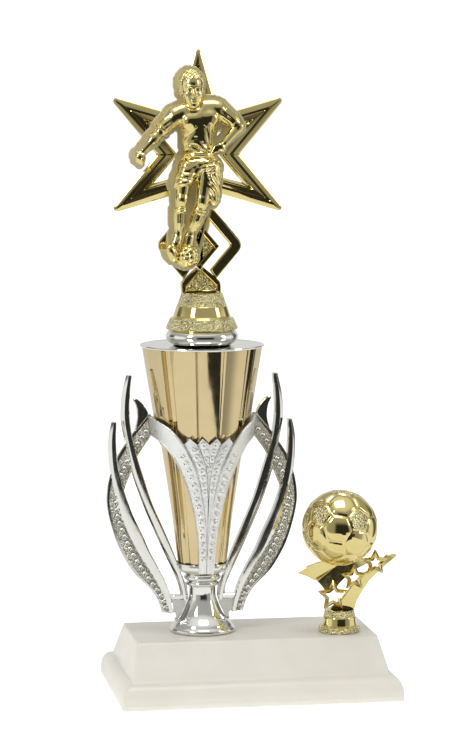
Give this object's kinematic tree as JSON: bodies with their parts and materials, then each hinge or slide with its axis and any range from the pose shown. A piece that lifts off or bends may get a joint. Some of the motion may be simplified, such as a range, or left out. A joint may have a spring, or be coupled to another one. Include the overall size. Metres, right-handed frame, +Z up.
{
  "type": "figure trophy",
  "caption": "Award trophy: ball player in an open star on a fluted cup riser with side wings, beside a small ball-and-stars trim, both screwed to a hollow sloped base.",
  "frame": {"origin": "centre of the base's resting face, on the table", "axes": "+Z up through the star, -Y towards the front with the player and the ball trim, +X to the trim's side"},
  "size_m": [0.158, 0.102, 0.3486],
  "materials": {
    "ivory_plastic": "satin moulded",
    "gold_plating": "vacuum-plated bright gold",
    "bronze_gold_plating": "vacuum-plated warm gold",
    "silver_plating": "vacuum-plated bright silver",
    "zinc_steel": "zinc plated",
    "black_steel": "dark lacquered"
  },
  "bodies": {
    "root": {"base_shell": "ivory_plastic", "weight_plate": "black_steel", "main_rod": "zinc_steel", "main_nut": "zinc_steel", "main_washer": "zinc_steel", "main_lock_washer": "zinc_steel", "riser_stem": "silver_plating", "wing_left": "silver_plating", "wing_right": "silver_plating", "fan_front": "silver_plating", "fan_back": "silver_plating", "gold_cup": "bronze_gold_plating", "cup_lid": "silver_plating", "figure_collar": "silver_plating", "figure_base": "gold_plating", "figure_nut": "zinc_steel", "star_frame": "gold_plating", "figure_backing": "gold_plating", "player": "gold_plating", "player_ball": "gold_plating", "trim_base": "gold_plating", "trim_nut": "zinc_steel", "trim_swoosh": "gold_plating", "trim_upsweep": "gold_plating", "trim_stars": "gold_plating", "trim_ball_front": "gold_plating", "trim_ball_back": "gold_plating", "trim_bolt": "zinc_steel", "trim_washer": "zinc_steel", "trim_lock_washer": "zinc_steel"}
  },
  "joints": []
}
